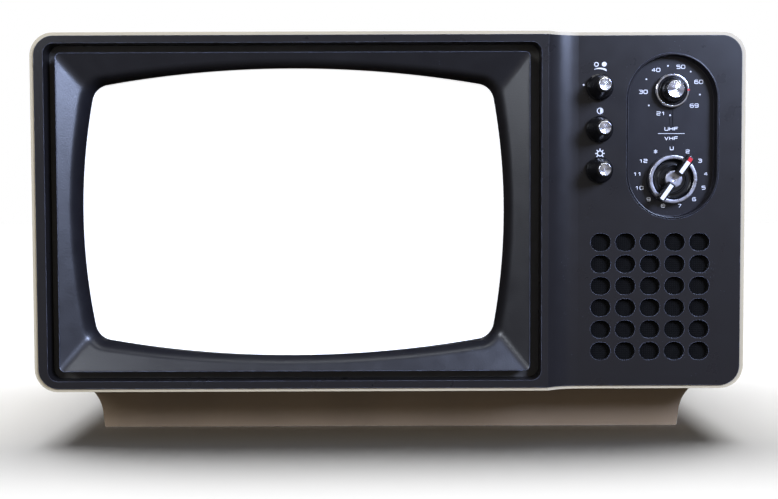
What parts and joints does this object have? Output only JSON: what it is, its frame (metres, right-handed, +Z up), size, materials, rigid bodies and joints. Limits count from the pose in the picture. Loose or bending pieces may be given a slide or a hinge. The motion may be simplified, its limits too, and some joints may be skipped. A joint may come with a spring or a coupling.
{
  "type": "portable television",
  "caption": "Portable television with a moulded cabinet on a plinth, bowed screen, tuning dials, speaker grille and folding telescopic rod aerials.",
  "frame": {"origin": "centre of the plinth's underside, on the surface that the set stands on", "axes": "+X to the right as seen from the front, -Y towards the viewer, +Z up"},
  "size_m": [0.43, 0.2752, 0.2635],
  "materials": {
    "cream_plastic": "satin",
    "plinth_plastic": "satin",
    "foot_rubber": "matte",
    "fascia_plastic": "satin",
    "mask_plastic": "fine texture",
    "dial_plastic": "satin",
    "speaker_cloth": "woven",
    "tube_glass": "polished",
    "zinc_steel": "plated",
    "screw_steel": "plated",
    "yoke_winding": "enamelled",
    "socket_plastic": "matte",
    "speaker_paper": "matte",
    "magnet_ferrite": "matte",
    "knob_plastic": "gloss",
    "spun_aluminium": "spun",
    "shaft_steel": "turned",
    "pot_steel": "plated",
    "tuner_steel": "tinned",
    "selector_silver": "plated",
    "pointer_plastic": "gloss",
    "chassis_steel": "zinc",
    "board_laminate": "matte",
    "flyback_resin": "potted",
    "transformer_iron": "varnished",
    "capacitor_sleeve": "gloss",
    "cover_plastic": "fine texture",
    "terminal_laminate": "matte",
    "jack_plastic": "gloss",
    "gland_rubber": "matte",
    "aerial_plastic": "satin",
    "rod_chrome": "polished"
  },
  "bodies": {
    "cabinet": {"cabinet_shell": "cream_plastic", "base_plinth": "plinth_plastic", "rubber_feet": "foot_rubber", "front_fascia": "fascia_plastic", "screen_mask": "mask_plastic", "dial_plate": "dial_plastic", "grille_cloth": "speaker_cloth", "picture_tube": "tube_glass", "tube_band": "zinc_steel", "tube_screws": "screw_steel", "deflection_yoke": "yoke_winding", "tube_socket": "socket_plastic", "speaker_frame": "zinc_steel", "speaker_cone": "speaker_paper", "speaker_magnet": "magnet_ferrite", "potentiometers": "pot_steel", "uhf_tuner": "tuner_steel", "vhf_tuner": "tuner_steel", "chassis_frame": "chassis_steel", "main_board": "board_laminate", "flyback_transformer": "flyback_resin", "power_transformer": "transformer_iron", "filter_capacitors": "capacitor_sleeve", "rear_cover": "cover_plastic", "rear_screws": "screw_steel", "terminal_board": "terminal_laminate", "terminal_screws": "screw_steel", "earphone_jack": "jack_plastic", "mains_gland": "gland_rubber", "aerial_base": "aerial_plastic"},
    "volume_control": {"volume_knob": "knob_plastic", "volume_cap": "spun_aluminium", "volume_shaft": "shaft_steel"},
    "contrast_control": {"contrast_knob": "knob_plastic", "contrast_cap": "spun_aluminium", "contrast_shaft": "shaft_steel"},
    "brightness_control": {"brightness_knob": "knob_plastic", "brightness_cap": "spun_aluminium", "brightness_shaft": "shaft_steel"},
    "uhf_control": {"uhf_knob": "knob_plastic", "uhf_cap": "spun_aluminium", "uhf_shaft": "shaft_steel"},
    "fine_tuning": {"fine_tuning_ring": "selector_silver", "fine_tuning_sleeve": "shaft_steel"},
    "channel_selector": {"selector_knob": "pointer_plastic", "selector_shaft": "shaft_steel"},
    "vertical_hold": {"vertical_hold_knob": "knob_plastic"},
    "horizontal_hold": {"horizontal_hold_knob": "knob_plastic"},
    "left_knuckle": {"left_post": "aerial_plastic", "left_pin": "screw_steel"},
    "left_section_1": {"left_rod_1": "rod_chrome"},
    "left_section_2": {"left_rod_2": "rod_chrome"},
    "left_section_3": {"left_rod_3": "rod_chrome"},
    "right_knuckle": {"right_post": "aerial_plastic", "right_pin": "screw_steel"},
    "right_section_1": {"right_rod_1": "rod_chrome"},
    "right_section_2": {"right_rod_2": "rod_chrome"},
    "right_section_3": {"right_rod_3": "rod_chrome"}
  },
  "joints": [
    {"name": "volume_turn", "type": "hinge", "parent": "cabinet", "child": "volume_control", "pos_m": [0.1264, -0.1137, 0.2138], "axis": [0, 1, 0], "range_deg": [-150, 150]},
    {"name": "contrast_turn", "type": "hinge", "parent": "cabinet", "child": "contrast_control", "pos_m": [0.1264, -0.1137, 0.1885], "axis": [0, 1, 0], "range_deg": [-150, 150]},
    {"name": "brightness_turn", "type": "hinge", "parent": "cabinet", "child": "brightness_control", "pos_m": [0.1264, -0.1137, 0.1639], "axis": [0, 1, 0], "range_deg": [-150, 150]},
    {"name": "uhf_turn", "type": "hinge", "parent": "cabinet", "child": "uhf_control", "pos_m": [0.1713, -0.1087, 0.2121], "axis": [0, 1, 0], "range_deg": [-252, 34]},
    {"name": "fine_tuning_turn", "type": "hinge", "parent": "cabinet", "child": "fine_tuning", "pos_m": [0.1714, -0.1087, 0.1584], "axis": [0, 1, 0], "range_deg": [-160, 160]},
    {"name": "channel_turn", "type": "hinge", "parent": "cabinet", "child": "channel_selector", "pos_m": [0.1714, -0.1087, 0.1584], "axis": [0, 1, 0], "continuous": true},
    {"name": "vertical_hold_turn", "type": "hinge", "parent": "cabinet", "child": "vertical_hold", "pos_m": [0.062, 0.122, 0.07], "axis": [0, 1, 0], "range_deg": [-140, 140]},
    {"name": "horizontal_hold_turn", "type": "hinge", "parent": "cabinet", "child": "horizontal_hold", "pos_m": [0.092, 0.122, 0.07], "axis": [0, 1, 0], "range_deg": [-140, 140]},
    {"name": "left_swivel", "type": "hinge", "parent": "cabinet", "child": "left_knuckle", "pos_m": [-0.015, 0.099, 0.252], "axis": [0, 0, 1], "range_deg": [-90, 90]},
    {"name": "left_tilt", "type": "hinge", "parent": "left_knuckle", "child": "left_section_1", "pos_m": [-0.015, 0.099, 0.2595], "axis": [0, 1, 0], "range_deg": [0, 90]},
    {"name": "left_slide_2", "type": "slide", "parent": "left_section_1", "child": "left_section_2", "axis": [-1, 0, 0], "range_m": [0, 0.165]},
    {"name": "left_slide_3", "type": "slide", "parent": "left_section_2", "child": "left_section_3", "axis": [-1, 0, 0], "range_m": [0, 0.165]},
    {"name": "right_swivel", "type": "hinge", "parent": "cabinet", "child": "right_knuckle", "pos_m": [0.015, 0.099, 0.252], "axis": [0, 0, 1], "range_deg": [-90, 90]},
    {"name": "right_tilt", "type": "hinge", "parent": "right_knuckle", "child": "right_section_1", "pos_m": [0.015, 0.099, 0.2595], "axis": [0, -1, 0], "range_deg": [0, 90]},
    {"name": "right_slide_2", "type": "slide", "parent": "right_section_1", "child": "right_section_2", "axis": [1, 0, 0], "range_m": [0, 0.165]},
    {"name": "right_slide_3", "type": "slide", "parent": "right_section_2", "child": "right_section_3", "axis": [1, 0, 0], "range_m": [0, 0.165]}
  ]
}
